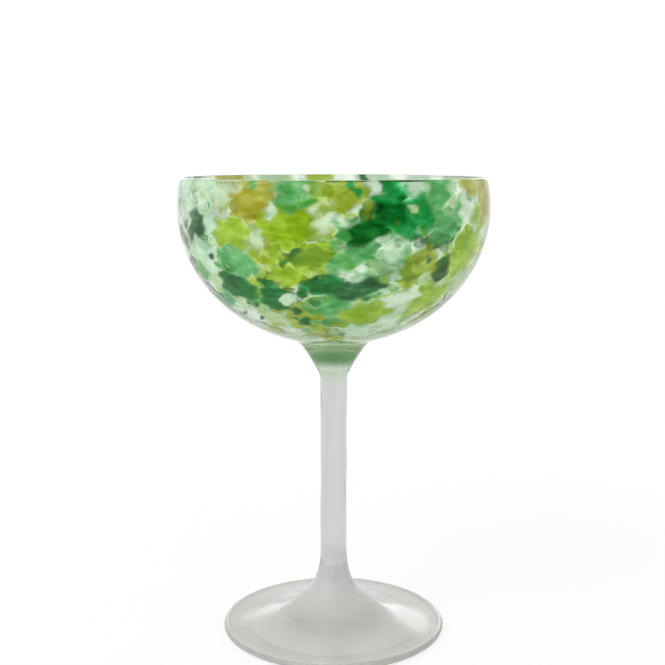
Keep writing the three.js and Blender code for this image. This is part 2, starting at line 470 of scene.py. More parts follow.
@dataclass(frozen=True)
class SpatterGlass(Finish):
    """Clear glass with chips of coloured glass melted into it, and specks of the same glass between.

    Attributes:
        clear: The glass between the chips.
        specks: The colours of the specks.
        funnel: The colour that runs down into the funnel.
        funnel_fade: The heights between which that colour comes in, from the top.
        neck: The stain at the seat, which the stem carries on.
        neck_fade: The heights between which the funnel's colour gives way to it, from the top.
        pooled: The heights between which the chips' colours run together, from the top.
        pool: How thick the colour is where it ran together.
        ragged: How far the edge of a chip wanders, in millimetres.
        coarse: Waves per metre of the wide wander.
        fine: Waves per metre of the narrow one.
        thin: The depths, in millimetres, between which a chip grows to its full thickness.
        milky: The depths between which it grows milky.
        body: How much of the light passes a milky core unscattered.
        streaks: How far the blowing thinned a chip in streaks.
        streak_waves: Streaks per metre along X, Y and Z.
        streaked: The values of the noise between which a streak comes in.
        speck_scale: Places for a speck per metre.
        speck_size: The radius of the largest speck, as a share of its place.
        speck_chance: The values of a place's chance between which its speck grows to that size.
        speck_wander: How far a speck's edge wanders, as a share of its size.
        speck_grain: Waves of that wander in each place.
        speck_edge: The depths between which a speck comes in, as shares of its place.
    """

    clear: ClearGlass
    specks: tuple[Colour, ...]
    funnel: Colour
    funnel_fade: Span
    neck: Colour
    neck_fade: Span
    pooled: Span
    pool: float = 0.85
    ragged: float = 1.5
    coarse: float = 260.0
    fine: float = 1400.0
    thin: Span = (-2.6, 1.6)
    milky: Span = (-0.5, 2.0)
    body: float = 0.5
    streaks: float = 0.45
    streak_waves: Vector = (170.0, 170.0, 420.0)
    streaked: Span = (0.3, 0.75)
    speck_scale: float = 330.0
    speck_size: float = 0.42
    speck_chance: Span = (0.35, 1.0)
    speck_wander: float = 0.3
    speck_grain: float = 4.0
    speck_edge: Span = (-0.02, 0.06)

    def _specks(self, graph: Graph, where: Wire) -> tuple[Wire, Wire]:
        """Small specks between the chips.

        Args:
            graph: The graph that the nodes go into.
            where: The place on the surface.

        Returns:
            Where the specks are, and their colours.
        """
        cells = graph.add("ShaderNodeTexVoronoi", {}, {"Vector": where, "Scale": self.speck_scale})
        chance = graph.add("ShaderNodeSeparateColor", {}, {"Color": cells.other("Color")})
        grain = graph.noise(where, self.speck_grain * self.speck_scale)
        wander = (grain - MEAN_NOISE) * self.speck_wander
        size = graph.rise(chance, *self.speck_chance) * self.speck_size
        inside = graph.rise(size - cells + wander * size, *self.speck_edge)
        share = 1.0 / len(self.specks)
        stops = [(place * share, colour) for place, colour in enumerate(self.specks)]
        colours = graph.add("ShaderNodeValToRGB", {"stops": stops}, {"Fac": chance.other("Green")})
        return inside, colours

    def surface(self, graph: Graph) -> Wire:
        """The glass's shader in a graph.

        Args:
            graph: The graph that the nodes go into.

        Returns:
            The shader.
        """
        where = graph.place()
        height = graph.coordinate(where, "Z")
        coarse = graph.noise(where, self.coarse, detail=3.0) - MEAN_NOISE
        fine = graph.noise(where, self.fine) - MEAN_NOISE
        edge = graph.layer(DEPTH_LAYER, "Fac") + (coarse * (2 * self.ragged) + fine * self.ragged)

        # A chip is paler where it thins out at its edge, and streaked where the blowing drew it.
        streaks = graph.noise(graph.stretch(where, self.streak_waves), scale=1.0, detail=4.0)
        drawn = graph.rise(streaks, *self.streaked) * self.streaks
        pool = graph.rise(height, *self.pooled) * self.pool
        thickness = (graph.rise(edge, *self.thin) | pool) * (1 - drawn)
        stain = graph.thinned(graph.layer(COLOUR_LAYER, "Color"), thickness)
        specks, speck_colour = self._specks(graph, where)
        stain = graph.blend(specks * (1 - thickness), stain, speck_colour)

        # Round the funnel the colours run into one, which thins out again towards the stem.
        run = graph.rise(height, *self.funnel_fade)
        thinning = graph.rise(height, *self.neck_fade)
        stain = graph.blend(run, stain, graph.blend(thinning, self.funnel, self.neck))

        clear = self.clear.surface(graph, stain)
        milky = self.clear.surface(graph, stain, self.body)
        share = (graph.rise(edge, *self.milky) | pool | run) * (1 - thinning)
        return graph.mix_shaders(share, clear, milky)


@dataclass(frozen=True)
class FusedJoint(Finish):
    """The face where two pieces of glass are fused: light passes it as if it weren't there."""

    name: str = "fused_joint"

    def surface(self, graph: Graph) -> Wire:
        """A shader that isn't seen."""
        return graph.glass(Alpha=0.0)


@dataclass(frozen=True)
class WhiteFloor(Finish):
    """A plain white floor that keeps a soft shadow.

    Attributes:
        paper: The floor's colour under the lamps.
        grain: The colour of its grain.
        grain_scale: Waves of the grain per metre.
        glow: How much of the floor's white the eye sees without a shadow.
        fade: The distances from the object between which the shadow fades out.
    """

    name: str = "white_floor"
    paper: Colour = (0.9, 0.9, 0.9)
    grain: Colour = (0.92, 0.92, 0.92)
    grain_scale: float = 40.0
    glow: float = 0.75
    fade: Span = (0.08, 0.28)

    def surface(self, graph: Graph) -> Wire:
        """The floor's shader in a graph.

        Args:
            graph: The graph that the nodes go into.

        Returns:
            The shader.
        """
        where = graph.place()
        colour = graph.blend(graph.noise(where, self.grain_scale, detail=3.0), self.paper, self.grain)
        paper = graph.add("ShaderNodeBsdfDiffuse", {}, {"Color": colour})
        white = graph.white_light("ShaderNodeEmission", 1.0)
        faded = graph.rise(graph.length(where), *self.fade)
        share = backdrop_rays(graph) * (self.glow + faded * (1 - self.glow))
        return graph.mix_shaders(share, paper, white)


def backdrop_rays(graph: Graph) -> Wire:
    """1 for the rays that see the white backdrop, and 0 for those that carry light to the object."""
    path = graph.add("ShaderNodeLightPath", output=Ray.CAMERA.value)
    return path | path.other(Ray.GLOSSY.value) | path.other(Ray.TRANSMISSION.value)


@dataclass(frozen=True)
class Wave:
    """A wave over a turned surface.

    Attributes:
        lobes: How many times it rises round the axis, below 0 where it turns the other way.
        climb: How many radians it goes on for each unit along the profile.
        phase: Where it starts, in radians.
        size: Its height, as a share.
    """

    lobes: int
    climb: float = 0.0
    phase: float = 0.0
    size: float = 1.0

    def at(self, bearings: np.ndarray, along: np.ndarray) -> np.ndarray:
        """The wave at these bearings and places along the profile."""
        return self.size * np.sin(self.lobes * bearings + self.climb * along + self.phase)


def swell(waves: Sequence[Wave], bearings: np.ndarray, along: np.ndarray) -> np.ndarray:
    """The sum of some waves at these bearings and places along the profile."""
    return sum(wave.at(bearings, along) for wave in waves)


@dataclass
class Turning:
    """A surface turned about +Z, row by row from its first pole to its last.

    Attributes:
        points: The grid of points, by row, turn and axis.
        skins: The skin of the band above each row, and of the last pole's fan.
        first_pole: The height of the pole before the first row.
        last_pole: The height of the pole after the last row.
        first_skin: The skin of the first pole's fan.
    """

    points: np.ndarray
    skins: np.ndarray
    first_pole: float
    last_pole: float
    first_skin: Skin = Skin.OUTSIDE

    def mesh(self, name: str) -> bpy.types.Mesh:
        """A closed mesh of the surface, with its sharp edges marked.

        Args:
            name: The mesh's name.

        Returns:
            The mesh, its points in rows and then the two poles.
        """
        rows, turns, _ = self.points.shape
        flat = self.points.reshape(-1, 3)
        poles = np.array([[0.0, 0.0, self.first_pole], [0.0, 0.0, self.last_pole]])
        first = len(flat)
        here = np.arange(rows * turns).reshape(rows, turns)
        beside = np.roll(here, -1, axis=1)
        bands = np.stack([here[:-1], beside[:-1], beside[1:], here[1:]], axis=-1).reshape(-1, 4)
        bottom = np.stack([np.full(turns, first), beside[0], here[0]], axis=-1)
        top = np.stack([here[-1], beside[-1], np.full(turns, first + 1)], axis=-1)
        mesh = bpy.data.meshes.new(name)
        mesh.from_pydata(np.vstack([flat, poles]), [], [*bands.tolist(), *bottom.tolist(), *top.tolist()])
        skins = np.repeat([*self.skins[:-1], self.first_skin, self.skins[-1]], turns)
        mesh.polygons.foreach_set("material_index", skins.astype(np.int32))
        mesh.shade_smooth()
        mesh.set_sharp_from_angle(angle=FUSED_ANGLE)
        return mesh


def bezier(points: Sequence[Span], steps: int) -> np.ndarray:
    """A Bezier curve of (radius, height) through its first and last point.

    Args:
        points: The two ends, with one or two control points between them.
        steps: How many points to give.

    Returns:
        The points, one a row.
    """
    share = np.linspace(0.0, 1.0, steps)[:, None]
    level = [np.array(point)[None, :] for point in points]
    while len(level) > 1:
        level = [a + (b - a) * share for a, b in zip(level, level[1:])]
    return level[0]


def strides(curve: np.ndarray) -> np.ndarray:
    """The length from each point of a profile to the next."""
    return np.hypot(*np.diff(curve, axis=0).T)


def evenly(curve: np.ndarray, steps: int) -> np.ndarray:
    """The same curve at equal lengths along it.

    Args:
        curve: A profile's (radius, height) points.
        steps: How many points to give.

    Returns:
        The points, one a row.
    """
    length = np.concatenate([[0.0], np.cumsum(strides(curve))])
    at = np.linspace(0.0, length[-1], steps)
    return np.stack([np.interp(at, length, curve[:, 0]), np.interp(at, length, curve[:, 1])], axis=-1)


def outward(curve: np.ndarray) -> np.ndarray:
    """The normal of a profile, to the right of its run.

    Args:
        curve: The profile's (radius, height) points.

    Returns:
        The normals, one a row.
    """
    along = np.gradient(curve, axis=0)
    along /= np.linalg.norm(along, axis=1, keepdims=True)
    return np.stack([along[:, 1], -along[:, 0]], axis=-1)


def turn(curve: np.ndarray, bearings: np.ndarray, shift: np.ndarray) -> np.ndarray:
    """A profile turned about +Z, each point moved along the profile's normal.

    Args:
        curve: The profile's (radius, height) points.
        bearings: The bearings round the axis.
        shift: How far each point moves out, by row and bearing.

    Returns:
        The grid of points, by row, turn and axis.
    """
    normal = outward(curve)
    radius = curve[:, :1] + normal[:, :1] * shift
    height = curve[:, 1:] + normal[:, 1:] * shift
    return np.stack([radius * np.sin(bearings), -radius * np.cos(bearings), height], axis=-1)


def around(bearing: Any) -> Any:
    """A bearing, or an array of them, brought to within half a turn of 0."""
    return (bearing + math.pi) % (2 * math.pi) - math.pi


def circle(turns: int) -> np.ndarray:
    """Equal bearings round the axis."""
    return np.linspace(0.0, 2 * math.pi, turns, endpoint=False)


def add_piece(
    mesh: bpy.types.Mesh,
    skins: Sequence[bpy.types.Material],
    nodes: Sequence[str],
) -> None:
    """Puts a piece into the scene in place of its CAD nodes.

    Args:
        mesh: The piece's mesh, whose name it takes.
        skins: Its materials in the order of Skin.
        nodes: The CAD nodes that it stands for.
    """
    for material in skins:
        mesh.materials.append(material)
    piece = bpy.data.objects.new(mesh.name, mesh)
    bpy.context.scene.collection.objects.link(piece)
    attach(piece, BODY)
    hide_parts(*nodes)
    log.info("%s: %d faces for %d CAD nodes", piece.name, len(mesh.polygons), len(nodes))


@dataclass
class Chip:
    """One chip of coloured glass on the unrolled wall.

    Attributes:
        colour: The colour of its glass.
        bearing: The bearing of its middle.
        outline: Its corners in order, in metres round the wall from its middle and up it from the seat.
        melt: How far its glass ran out past the outline when it melted.
        cover: How firmly it covers the chips under it.
    """

    colour: Colour
    bearing: float
    outline: np.ndarray
    melt: float
    cover: float = 1.0

    @property
    def middle(self) -> float:
        """How far up the wall its middle is."""
        return self.outline[:, 1].mean()

    def depth(self, across: np.ndarray, up: np.ndarray) -> np.ndarray:
        """How far points of the wall lie inside the melted chip.

        Args:
            across: Metres round the wall from the chip's middle.
            up: Metres up the wall from the seat.

        Returns:
            Metres, below 0 outside the chip.
        """
        inside = np.full(across.shape, np.inf)
        outside = np.full(across.shape, np.inf)
        for a, b in zip(self.outline, np.roll(self.outline, -1, axis=0)):
            edge = b - a
            length = np.hypot(*edge)
            off_x, off_y = across - a[0], up - a[1]
            inside = np.minimum(inside, (edge[0] * off_y - edge[1] * off_x) / length)
            share = np.clip((off_x * edge[0] + off_y * edge[1]) / length**2, 0.0, 1.0)
            outside = np.minimum(outside, np.hypot(off_x - share * edge[0], off_y - share * edge[1]))
        return np.where(inside > 0, inside, -outside) + self.melt


@dataclass
class Wall:
    """The bowl's outer wall unrolled to a grid, into which chips are melted one by one.

    Attributes:
        curve: The wall's profile at equal lengths.
        bearings: The bearings round the axis.
        melded: How far the colours of two chips run into each other.
        reach: How far from a chip its depth is measured.
        drift: How far the blowing drew the glass out of true.
        lifts: The waves in which it drew the glass up and down.
        sways: The waves in which it drew the glass round.
    """

    curve: np.ndarray
    bearings: np.ndarray
    melded: float = 0.35 * MM
    reach: float = 8 * MM
    drift: float = 0.5 * MM
    lifts: tuple[Wave, ...] = (Wave(9, 700.0), Wave(23, -1100.0, 2.0), Wave(41, 500.0))
    sways: tuple[Wave, ...] = (Wave(7, 800.0), Wave(-17, 1500.0, 1.0))

    def __post_init__(self) -> None:
        """Lays out the grid, with no chip on it."""
        self.heights = np.linspace(0.0, strides(self.curve).sum(), len(self.curve))
        true = self.heights[:, None]
        self.up = true + self.drift * swell(self.lifts, self.bearings, true)
        self.sway = self.drift * swell(self.sways, self.bearings, true)
        self.depth = np.full(self.up.shape, -self.reach)
        self.weight = np.full((*self.up.shape, 1), np.finfo(float).tiny)
        self.stain = self.weight * np.ones(3)

    @property
    def colour(self) -> np.ndarray:
        """The colour of the chips at each point, where there are any."""
        return self.stain / self.weight

    def melt_in(self, chip: Chip) -> None:
        """Adds one chip, whose colour melds with those that it meets.

        Args:
            chip: The chip.
        """
        low, high = chip.outline[:, 1].min() - self.reach, chip.outline[:, 1].max() + self.reach
        rows = slice(*np.searchsorted(self.heights, [low, high]))
        across = around(self.bearings - chip.bearing) * self.curve[rows, :1] + self.sway[rows]
        depth = chip.depth(across, self.up[rows])
        self.depth[rows] = np.maximum(self.depth[rows], depth)
        pull = np.exp(depth * chip.cover / self.melded)[..., None]
        self.weight[rows] += pull
        self.stain[rows] += pull * np.array(chip.colour)


def hull(points: np.ndarray) -> np.ndarray:
    """The convex outline of flat points.

    Args:
        points: The points, one a row.

    Returns:
        The outline's corners, anticlockwise.
    """
    ordered = sorted(map(tuple, points))
    corners = []
    for run in (ordered, ordered[::-1]):
        side: list[Span] = []
        for point in run:
            while len(side) > 1 and cross(side[-2], side[-1], point) <= 0:
                side.pop()
            side.append(point)
        corners += side[:-1]
    return np.array(corners)


def cross(a: Span, b: Span, c: Span) -> float:
    """Above 0 where the way from a through b to c turns left."""
    return (b[0] - a[0]) * (c[1] - a[1]) - (b[1] - a[1]) * (c[0] - a[0])


@dataclass
class Spatter:
    """What is strewn on the bowl: the CAD's chips, small chips in the gaps, and flecks over all.

    Attributes:
        curve: The wall's profile in fine, equal steps.
        radius: The bowl's widest radius.
        flush: How near the wall a corner of a CAD chip counts as flush with it.
        melt: The least and the most that a chip's glass ran out when it melted.
        stain: The power that the colour of a chip's glass is raised to, for light that passes it.
        dark_stain: The same for the dark glasses.
        pale_stain: The same for the pale ones.
        funnel_stain: The same for the glass round the funnel.
        purity: What that power gains for the weaker channels of a colour, but for the pale ones.
        dark_glass: The slots of the dark glasses, which are stiff.
        pale_glass: The slots of the pale ones.
        light_glass: The slots of the light ones, for small chips that take no near chip's colour.
        funnel_glass: The slot of the glass round the funnel.
        lip_reach: How near the lip a chip's end is drawn out to it, unless it's dark and stiff.
        lip_over: How far past the lip's start it is drawn.
        bare: The share of the wall, from the seat, that small chips keep off.
        bright: The least sum of a chip's red, green and blue for its colour to fill a gap.
        gap_tries: How many places are looked at for a gap to fill.
        gap_limit: The largest gap that a small chip fills.
        gap_likeness: The share of the chips in the gaps that take a near chip's colour.
        flecks: How many flecks are strewn over all.
        fleck_size: The radii of the least fleck and the largest.
        fleck_likeness: The share of the flecks that take a near chip's colour.
        fleck_cover: How firmly a fleck covers the chips under it.
        small_melt: How far a small chip's or a fleck's glass ran out when it melted.
        corners: How many corners its outline is drawn from.
        corner_turn: How far round they start, in radians.
        corner_reach: How far out each lies, as a share of the radius.
        widening: How wide it is for its height.
        leaning: How far it leans.
        kin: How many large chips near it a small one may take its colour from.
        seed: The start of the random draws.
    """

    curve: np.ndarray
    radius: float
    flush: float
    melt: Span = (1.0 * MM, 2.6 * MM)
    stain: float = 1.05
    dark_stain: float = 1.3
    pale_stain: float = 0.6
    funnel_stain: float = 0.65
    purity: float = 0.2
    dark_glass: tuple[str, ...] = ("emerald_glass", "forest_glass", "bottle_glass")
    pale_glass: tuple[str, ...] = ("mint_glass", "pale_glass")
    light_glass: tuple[str, ...] = ("mint_glass", "pale_glass", "lime_glass", "sage_glass")
    funnel_glass: str = "sage_glass"
    lip_reach: float = 4 * MM
    lip_over: float = 2 * MM
    bare: float = 0.3
    bright: float = 0.35
    gap_tries: int = 2500
    gap_limit: float = 4 * MM
    gap_likeness: float = 0.6
    flecks: int = 200
    fleck_size: Span = (0.6 * MM, 2.0 * MM)
    fleck_likeness: float = 0.9
    fleck_cover: float = 4.0
    small_melt: float = 0.8 * MM
    corners: int = 7
    corner_turn: Span = (0.0, 1.0)
    corner_reach: Span = (0.7, 1.2)
    widening: Span = (0.9, 1.5)
    leaning: Span = (-0.6, 0.6)
    kin: int = 2
    seed: int = 11

    @cached_property
    def colours(self) -> dict[str, Colour]:
        """The colour of each slot's glass, deeper or paler so that it looks right with light behind it.

        Returns:
            The colours by slot.
        """
        stains = dict.fromkeys(self.dark_glass, self.dark_stain)
        stains |= dict.fromkeys(self.pale_glass, self.pale_stain)
        stains[self.funnel_glass] = self.funnel_stain
        deep = {}
        for slot, colour in slot_colours().items():
            stain = stains.get(slot, self.stain)
            purity = 0.0 if slot in self.pale_glass else self.purity
            share = np.array(colour) / max(colour)
            deep[slot] = tuple(max(colour) ** stain * share ** (stain + purity))
        return deep

    def large_chips(self, rng: np.random.Generator) -> list[Chip]:
        """Reads the chips' outlines from the CAD chips, which lie flush with the wall.

        Args:
            rng: Where each chip's melting is drawn from.

        Returns:
            The chips in the order of their names.
        """
        length = strides(self.curve).sum()
        chips = []
        for name in chip_nodes():
            points = np.array([v.co for v in frame["nodes"][name].data.vertices])
            bearing = np.arctan2(points[:, 0].mean(), -points[:, 1].mean())
            aside = around(np.arctan2(points[:, 0], -points[:, 1]) - bearing)
            radius = np.hypot(points[:, 0], points[:, 1])
            apart = np.hypot(radius[:, None] - self.curve[:, 0], points[:, 2, None] - self.curve[:, 1])
            flush = apart.min(axis=1) < self.flush
            up = apart.argmin(axis=1) * length / (len(self.curve) - 1)
            outline = hull(np.stack([aside * radius, up], axis=-1)[flush])
            slot = name.split(CHIP_MARK)[0] + "_glass"
            top, centre = outline[:, 1].max(), outline[:, 1].mean()
            if top > length - self.lip_reach and slot not in self.dark_glass:
                share = np.clip((outline[:, 1] - centre) / (top - centre), 0.0, 1.0)
                outline[:, 1] += share * (length + self.lip_over - top)
            chips.append(Chip(self.colours[slot], bearing, outline, rng.uniform(*self.melt)))
        return chips

    def small_chip(
        self,
        rng: np.random.Generator,
        large: list[Chip],
        bearing: float,
        up: float,
        size: float,
        likeness: float,
    ) -> Chip:
        """One small chip, in the colour of a large chip near it or in a light one.

        Args:
            rng: Where its shape and colour are drawn from.
            large: The large chips.
            bearing: The bearing of its middle.
            up: Its middle's way up the wall, in metres.
            size: Its radius.
            likeness: How likely it is to take a large chip's colour.

        Returns:
            The chip.
        """
        angles = circle(self.corners) + rng.uniform(*self.corner_turn)
        reach = size * rng.uniform(*self.corner_reach, len(angles))
        x = reach * np.cos(angles) * rng.uniform(*self.widening)
        y = reach * np.sin(angles)
        outline = hull(np.stack([x + rng.uniform(*self.leaning) * y, up + y], axis=-1))
        away = [
            math.hypot(around(chip.bearing - bearing) * self.radius, chip.middle - up) for chip in large
        ]
        kin = [large[place].colour for place in np.argsort(away)[: self.kin]]
        shades = kin if rng.random() < likeness else [self.colours[slot] for slot in self.light_glass]
        return Chip(shades[rng.integers(len(shades))], bearing, outline, self.small_melt)

    def strew(self, wall: Wall) -> None:
        """Melts the large chips into the wall, fills the gaps between them and strews flecks over all.

        Args:
            wall: The wall, with no chip on it.
        """
        rng = np.random.default_rng(self.seed)
        large = self.large_chips(rng)
        for chip in large:
            wall.melt_in(chip)
        bright = [chip for chip in large if sum(chip.colour) > self.bright]
        spread = wall.curve[:, 0] * (np.linspace(0.0, 1.0, len(wall.curve)) > self.bare)
        spread /= spread.sum()
        for attempt in range(self.gap_tries + self.flecks):
            row = rng.choice(len(spread), p=spread)
            place = rng.integers(len(wall.bearings))
            gap = -wall.depth[row, place]
            filling = attempt < self.gap_tries
            if filling and gap < self.fleck_size[0]:
                continue
            size = min(gap, self.gap_limit) if filling else rng.uniform(*self.fleck_size)
            likeness = self.gap_likeness if filling else self.fleck_likeness
            kin = bright if filling else large
            chip = self.small_chip(rng, kin, wall.bearings[place], wall.heights[row], size, likeness)
            if not filling:
                chip.cover = self.fleck_cover
            wall.melt_in(chip)


@dataclass
class Bowl:
    """The blown bowl: a half ellipse carried past its widest circle, on a short solid funnel.

    Attributes:
        seat: The height of the face that it's fused to the stem on.
        rim: The height of the lip.
        radius: The widest radius.
        funnel_drop: How far the funnel's face is below the ellipse.
        rim_rise: How far the wall is carried past the widest circle.
        seat_radius: The radius at the seat.
        funnel_radius: The radius at which the funnel runs into the ellipse.
        funnel_slope: How much the funnel widens at the seat, for each metre up.
        floor: The thickness of the floor.
        wall: The thickness of the wall.
        settled: The share of the wall, from the seat, over which its wander and inset come in.
        wobble: How far the wall wanders from a true round.
        lobes: The waves in which it wanders.
        inset: How far the wall is held in, so that chips and wander stay inside the CAD box.
        relief: How far a chip stands out of the wall.
        relief_run: How wide the edge is in which it rises.
        turns: Points round the axis.
        outer_rows: Rows of the outer wall.
        lip_rows: Rows of the lip.
        inner_rows: Rows of the inner wall.
        fine_rows: Rows of the outer wall by which the CAD's chips are placed.
        shell_points: Points of an ellipse for each row that is kept of it.
        funnel_points: The same for the funnel.
        speckless: The slots whose glass makes no specks.
        funnel_colour: The colour that runs down into the funnel.
        funnel_fade: The heights above the seat between which that colour comes in, from the top.
        neck_stain: The stain at the seat.
        neck_fade: The heights above the seat between which the funnel's colour gives way to it.
        pooled: The heights above the seat between which the chips' colours run together.
    """

    seat: float
    rim: float
    radius: float
    funnel_drop: float = 8 * MM
    rim_rise: float = 10 * MM
    seat_radius: float = 5.6 * MM
    funnel_radius: float = 13 * MM
    funnel_slope: float = 0.6
    floor: float = 3.6 * MM
    wall: float = 1.9 * MM
    settled: float = 1 / 6
    wobble: float = 0.1 * MM
    lobes: tuple[Wave, ...] = (Wave(2, phase=0.7), Wave(3, climb=160.0, size=0.5), Wave(5, size=0.5))
    inset: float = 0.3 * MM
    relief: float = 0.05 * MM
    relief_run: float = 1.2 * MM
    turns: int = 448
    outer_rows: int = 140
    lip_rows: int = 9
    inner_rows: int = 54
    fine_rows: int = 900
    shell_points: int = 8
    funnel_points: int = 2
    speckless: tuple[str, ...] = (CLEAR_SLOT, "ochre_glass")
    funnel_colour: Colour = (0.165, 0.33, 0.145)
    funnel_fade: Span = (10 * MM, 6 * MM)
    neck_stain: Colour = (0.63, 0.69, 0.68)
    neck_fade: Span = (4.2 * MM, 0.2 * MM)
    pooled: Span = (22 * MM, 12 * MM)

    @classmethod
    def on_frame(cls) -> "Bowl":
        """The bowl at the CAD bowl's heights and radius."""
        low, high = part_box("bowl")
        return cls(seat=low.z, rim=high.z, radius=(high.y - low.y) / 2)

    @property
    def drop(self) -> float:
        """The ellipse's half height."""
        return self.rim - self.rim_rise - self.seat - self.funnel_drop

    @property
    def middle(self) -> float:
        """The height of the widest circle."""
        return self.rim - self.rim_rise

    @property
    def lip_height(self) -> float:
        """The height at which the rounded lip begins."""
        return self.rim - self.wall / 2

    @property
    def flush(self) -> float:
        """How near the wall a corner of a CAD chip counts as flush with it."""
        return self.wall / 6

    def outer_curve(self, steps: int) -> np.ndarray:
        """The outer wall from the seat to the lip, at equal lengths.

        Args:
            steps: How many points to give.

        Returns:
            The points, one a row.
        """
        start = -math.acos(self.funnel_radius / self.radius)
        end = math.asin((self.lip_height - self.middle) / self.drop)
        angles = np.linspace(start, end, self.shell_points * steps)
        shell = np.stack([self.radius * np.cos(angles), self.middle + self.drop * np.sin(angles)], axis=-1)
        slope = (self.drop / self.radius) * (self.funnel_radius / self.radius) / -math.sin(start)
        across = self.funnel_radius - self.seat_radius
        climb = shell[0, 1] - self.seat
        meet = (climb - slope * across) / (1 - slope * self.funnel_slope)
        funnel = bezier(
            [
                (self.seat_radius, self.seat),
                (self.seat_radius + self.funnel_slope * meet, self.seat + meet),
                (self.funnel_radius, shell[0, 1]),
            ],
            self.funnel_points * steps,
        )
        return evenly(np.vstack([funnel[:-1], shell]), steps)

    def inner_curve(self, steps: int) -> np.ndarray:
        """The inner wall from the lip almost to the axis, at equal lengths.

        Args:
            steps: How many points to give.

        Returns:
            The points, one a row.
        """
        depth = self.drop - self.floor
        start = math.asin((self.lip_height - self.middle) / depth)
        angles = np.linspace(start, -math.pi / 2, self.shell_points * steps)
        radius = self.radius - self.wall
        curve = np.stack([radius * np.cos(angles), self.middle + depth * np.sin(angles)], axis=-1)
        return evenly(curve, steps + 1)[:-1]

    def lip_curve(self, outer: np.ndarray, inner: np.ndarray) -> np.ndarray:
        """The rounded lip.

        Args:
            outer: The last point of the outer wall.
            inner: The first point of the inner wall.

        Returns:
            The points between them, one a row.
        """
        angles = np.linspace(0.0, math.pi, self.lip_rows + 2)[1:-1]
        centre = (outer[0] + inner[0]) / 2
        half = (outer[0] - inner[0]) / 2
        height = self.lip_height + self.wall / 2 * np.sin(angles)
        return np.stack([centre + half * np.cos(angles), height], axis=-1)

    def shift(self, profile: np.ndarray, bearings: np.ndarray, depth: np.ndarray) -> np.ndarray:
        """How far the points of the bowl move out from its true shape.

        Args:
            profile: The profile's (radius, height) points.
            bearings: The bearings round the axis.
            depth: How far each point lies inside a chip.

        Returns:
            Metres, by row and bearing.
        """
        rows = len(profile)
        wander = self.wobble * swell(self.lobes, bearings, profile[:, 1:])
        raised = self.relief * np.clip(0.5 + depth / self.relief_run, 0.0, 1.0)
        raised[self.outer_rows :] = 0.0
        towards = np.ones((rows, 1))
        towards[self.outer_rows + self.lip_rows :] = -1.0

        # The wall is held in from the CAD box, but not at the seat, where it meets the stem.
        share = np.ones(rows)
        share[: self.outer_rows] = np.clip(np.linspace(0.0, 1 / self.settled, self.outer_rows), 0.0, 1.0)
        return share[:, None] * (towards * (wander / 2) + raised - self.inset * (towards > 0))

    def build(self) -> bpy.types.Mesh:
        """Builds the bowl, with its chips in relief.

        Returns:
            The mesh, which carries the chips' depths and colours as layers.
        """
        bearings = circle(self.turns)
        outer = self.outer_curve(self.outer_rows)
        inner = self.inner_curve(self.inner_rows)
        profile = np.vstack([outer, self.lip_curve(outer[-1], inner[0]), inner])
        rows = len(profile)

        wall = Wall(outer, bearings)
        Spatter(self.outer_curve(self.fine_rows), self.radius, self.flush).strew(wall)
        depth = np.full((rows, self.turns), -wall.reach)
        colour = np.ones((rows, self.turns, 3))
        depth[: self.outer_rows], colour[: self.outer_rows] = wall.depth, wall.colour
        lip = slice(self.outer_rows, self.outer_rows + self.lip_rows)
        depth[lip], colour[lip] = depth[self.outer_rows - 1], colour[self.outer_rows - 1]

        skins = np.full(rows, Skin.OUTSIDE)
        skins[self.outer_rows + self.lip_rows // 2 :] = Skin.INSIDE
        surface = Turning(
            turn(profile, bearings, self.shift(profile, bearings, depth)),
            skins,
            first_pole=self.seat,
            last_pole=profile[-1, 1],
            first_skin=Skin.JOINT,
        )
        mesh = surface.mesh("spatter_bowl")
        layer = mesh.attributes.new(DEPTH_LAYER, "FLOAT", "POINT")
        deep = np.append(depth.ravel(), [-wall.reach, -wall.reach]) / MM
        layer.data.foreach_set("value", deep.astype(np.float32))
        tints = np.ones((rows * self.turns + 2, 4), np.float32)
        tints[:-2, :3] = colour.reshape(-1, 3)
        layer = mesh.attributes.new(COLOUR_LAYER, "FLOAT_COLOR", "POINT")
        layer.data.foreach_set("color", tints.ravel())
        return mesh

    def above_seat(self, span: Span) -> Span:
        """Heights above the seat as heights in the frame."""
        return self.seat + span[0], self.seat + span[1]

    def dress(self, mesh: bpy.types.Mesh) -> None:
        """Gives the bowl its finishes and puts it in place of the CAD bowl and chips.

        Args:
            mesh: The bowl's mesh.
        """
        waves = (90.0, 90.0, 90.0)
        colours = slot_colours()
        ground = ClearGlass("ground", tint_and_shade=(0.92, 0.98, 0.86), drawn=(0.85, 0.95, 0.76), waves=waves)
        inside = ClearGlass("bowl_inside", tint_and_shade=(0.93, 0.99, 0.93), drawn=(0.89, 0.96, 0.89), waves=waves)
        spatter = SpatterGlass(
            "spatter_glass",
            clear=ground,
            specks=tuple(colours[slot] for slot in sorted(colours) if slot not in self.speckless),
            funnel=self.funnel_colour,
            funnel_fade=self.above_seat(self.funnel_fade),
            neck=self.neck_stain,
            neck_fade=self.above_seat(self.neck_fade),
            pooled=self.above_seat(self.pooled),
        )
        skins = [spatter.material(), inside.material(), FusedJoint().material()]
        add_piece(mesh, skins, ["bowl", *chip_nodes()])


